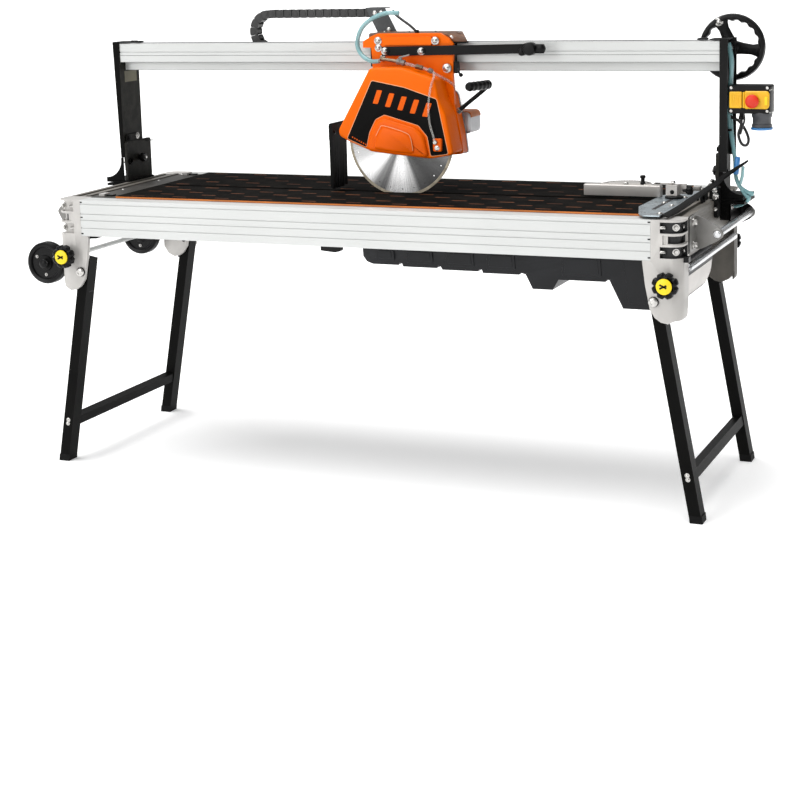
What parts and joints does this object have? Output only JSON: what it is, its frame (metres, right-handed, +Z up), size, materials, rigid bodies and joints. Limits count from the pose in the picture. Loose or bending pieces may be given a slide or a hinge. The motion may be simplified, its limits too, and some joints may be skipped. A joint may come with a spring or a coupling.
{
  "type": "bridge tile saw",
  "caption": "Wet tile saw: a guarded blade head rides a tilting bridge beam over a long table with a water tank, fence, crank wheel, folding legs and transport wheels.",
  "frame": {"origin": "on the floor under the middle of the machine's bounding box", "axes": "+X along the table towards the crank wheel, +Y away from the operator towards the back, +Z up"},
  "size_m": [2.323, 0.833, 1.4415],
  "materials": {
    "aluminium_profile": "satin anodised extrusion",
    "cast_frame": "grey-beige powder coated casting",
    "black_steel": "black powder coat",
    "black_plastic": "moulded black plastic",
    "black_rubber": "ribbed black rubber",
    "orange_shell": "orange gloss coat",
    "motor_metal": "finned silver casing",
    "zinc_plate": "zinc plated sheet",
    "bright_steel": "ground steel",
    "fence_metal": "pale grey satin",
    "yellow_plastic": "moulded yellow plastic",
    "red_plastic": "moulded red plastic",
    "blue_plastic": "moulded blue plastic",
    "brass_fitting": "machined brass"
  },
  "bodies": {
    "frame": {"rail_front": "aluminium_profile", "rail_rear": "aluminium_profile", "casting_front_left": "cast_frame", "casting_front_right": "cast_frame", "casting_rear_left": "cast_frame", "casting_rear_right": "cast_frame", "end_rail_left": "aluminium_profile", "end_rail_right": "aluminium_profile", "table_board": "black_plastic", "rubber_mat": "black_rubber", "water_tank": "black_plastic", "water_pump": "black_plastic", "carry_handle_left": "cast_frame", "carry_handle_right": "cast_frame", "cross_tube_left": "aluminium_profile", "cross_tube_right": "aluminium_profile", "post_bracket_left": "black_steel", "post_bracket_right": "black_steel", "fence_plate": "zinc_plate", "splash_strip": "black_rubber", "wheel_axle": "bright_steel"},
    "leg_left": {"leg_frame_left": "black_steel"},
    "leg_right": {"leg_frame_right": "black_steel"},
    "knob_front_left": {"leg_knob_front_left": "black_plastic"},
    "knob_front_right": {"leg_knob_front_right": "black_plastic"},
    "knob_rear_left": {"leg_knob_rear_left": "black_plastic"},
    "knob_rear_right": {"leg_knob_rear_right": "black_plastic"},
    "wheel_front": {"transport_wheel_front": "black_plastic"},
    "wheel_rear": {"transport_wheel_rear": "black_plastic"},
    "bridge": {"beam": "aluminium_profile", "post_left": "black_steel", "post_right": "black_steel", "switch_box": "black_plastic", "chain_lower_run": "black_plastic"},
    "bevel_left": {"bevel_knob_left": "black_plastic"},
    "bevel_right": {"bevel_knob_right": "black_plastic"},
    "crank": {"handwheel": "black_plastic", "drive_shaft": "bright_steel"},
    "crank_grip": {"handwheel_grip": "black_plastic"},
    "carriage": {"carriage_saddle": "cast_frame", "chain_upper_run": "black_plastic"},
    "chain": {"chain_bend": "black_plastic"},
    "head": {"head_arm": "orange_shell", "plunge_lever": "black_steel", "blade_guard": "orange_shell", "belt_cover": "orange_shell", "motor": "motor_metal", "push_handle": "black_plastic", "water_valve": "brass_fitting", "drive_belt": "black_rubber"},
    "blade": {"saw_blade": "bright_steel", "arbor": "bright_steel"},
    "spindle": {"motor_spindle": "bright_steel"},
    "flap": {"splash_flap": "black_rubber"},
    "switch_cover": {"switch_flap": "yellow_plastic"},
    "stop": {"stop_button": "red_plastic"},
    "inlet_cover": {"inlet_lid": "blue_plastic"},
    "fence_foot": {"fence_base": "fence_metal"},
    "fence_arm": {"fence_bar": "fence_metal"},
    "fence_screw": {"fence_knob": "black_plastic"}
  },
  "joints": [
    {"name": "leg_left_fold", "type": "hinge", "parent": "frame", "child": "leg_left", "pos_m": [-0.9425, 0, 0.638], "axis": [0, -1, 0], "range_deg": [0, 100]},
    {"name": "leg_right_fold", "type": "hinge", "parent": "frame", "child": "leg_right", "pos_m": [0.9275, 0, 0.638], "axis": [0, 1, 0], "range_deg": [0, 100]},
    {"name": "turn_knob_front_left", "type": "hinge", "parent": "frame", "child": "knob_front_left", "pos_m": [-0.9835, -0.3675, 0.691], "axis": [0, -1, 0], "range_deg": [-180, 0]},
    {"name": "turn_knob_front_right", "type": "hinge", "parent": "frame", "child": "knob_front_right", "pos_m": [0.9685, -0.3675, 0.691], "axis": [0, -1, 0], "range_deg": [-180, 0]},
    {"name": "turn_knob_rear_left", "type": "hinge", "parent": "frame", "child": "knob_rear_left", "pos_m": [-0.9835, 0.3675, 0.691], "axis": [0, 1, 0], "range_deg": [-180, 0]},
    {"name": "turn_knob_rear_right", "type": "hinge", "parent": "frame", "child": "knob_rear_right", "pos_m": [0.9685, 0.3675, 0.691], "axis": [0, 1, 0], "range_deg": [-180, 0]},
    {"name": "wheel_front_spin", "type": "hinge", "parent": "frame", "child": "wheel_front", "pos_m": [-1.0935, -0.3265, 0.655], "axis": [0, 1, 0], "continuous": true},
    {"name": "wheel_rear_spin", "type": "hinge", "parent": "frame", "child": "wheel_rear", "pos_m": [-1.0935, 0.2595, 0.655], "axis": [0, 1, 0], "continuous": true},
    {"name": "bridge_tilt", "type": "hinge", "parent": "frame", "child": "bridge", "pos_m": [-0.0075, 0.0845, 0.938], "axis": [-1, 0, 0], "range_deg": [0, 45]},
    {"name": "turn_bevel_left", "type": "hinge", "parent": "bridge", "child": "bevel_left", "pos_m": [-1.0035, 0.1425, 0.945], "axis": [1, 0, 0], "range_deg": [-180, 0]},
    {"name": "turn_bevel_right", "type": "hinge", "parent": "bridge", "child": "bevel_right", "pos_m": [0.9885, 0.1425, 0.945], "axis": [-1, 0, 0], "range_deg": [-180, 0]},
    {"name": "carriage_travel", "type": "slide", "parent": "bridge", "child": "carriage", "axis": [1, 0, 0], "range_m": [-0.76, 0.7], "deforming": ["chain_upper_run", "chain_lower_run"]},
    {"name": "crank_turn", "type": "hinge", "parent": "bridge", "child": "crank", "pos_m": [1.0165, 0.2075, 1.309], "axis": [0, 1, 0], "range_deg": [-3130, 2880]},
    {"name": "crank_grip_spin", "type": "hinge", "parent": "crank", "child": "crank_grip", "pos_m": [0.97791, 0.2475, 1.38474], "axis": [0, 1, 0], "continuous": true},
    {"name": "chain_travel", "type": "slide", "parent": "bridge", "child": "chain", "axis": [1, 0, 0], "range_m": [-0.382, 0.352]},
    {"name": "plunge", "type": "hinge", "parent": "carriage", "child": "head", "pos_m": [0.1755, 0.0255, 1.259], "axis": [0, 1, 0], "range_deg": [0, 15]},
    {"name": "blade_spin", "type": "hinge", "parent": "head", "child": "blade", "pos_m": [0.0305, -0.0225, 1.037], "axis": [0, 1, 0], "continuous": true},
    {"name": "spindle_spin", "type": "hinge", "parent": "head", "child": "spindle", "pos_m": [0.1645, 0.0625, 1.082], "axis": [0, 1, 0], "continuous": true},
    {"name": "flap_swing", "type": "hinge", "parent": "head", "child": "flap", "pos_m": [-0.19, -0.0125, 1.086], "axis": [0, 1, 0], "range_deg": [-5, 35]},
    {"name": "switch_cover_open", "type": "hinge", "parent": "bridge", "child": "switch_cover", "pos_m": [1.0825, 0.0644, 1.163], "axis": [0, 0, -1], "range_deg": [0, 100]},
    {"name": "stop_press", "type": "slide", "parent": "switch_cover", "child": "stop", "axis": [0, 1, 0], "range_m": [0, 0.004]},
    {"name": "inlet_cover_open", "type": "hinge", "parent": "bridge", "child": "inlet_cover", "pos_m": [1.1295, 0.1325, 1.078], "axis": [1, 0, 0], "range_deg": [0, 100]},
    {"name": "fence_slide", "type": "slide", "parent": "frame", "child": "fence_foot", "axis": [0, 1, 0], "range_m": [0, 0.06]},
    {"name": "fence_swivel", "type": "hinge", "parent": "fence_foot", "child": "fence_arm", "pos_m": [0.8875, 0.0045, 0.92], "axis": [0, 0, 1], "range_deg": [-30, 0]},
    {"name": "fence_screw_turn", "type": "hinge", "parent": "fence_foot", "child": "fence_screw", "pos_m": [0.9285, 0.0185, 0.899], "axis": [1, 0, 0], "range_deg": [-180, 0]}
  ],
  "couplings": [
    {"joint": "crank_turn", "follows": "carriage_travel", "rad_per_m": 71.429},
    {"joint": "chain_travel", "follows": "carriage_travel", "ratio": 0.5},
    {"joint": "spindle_spin", "follows": "blade_spin", "ratio": 1.52}
  ]
}
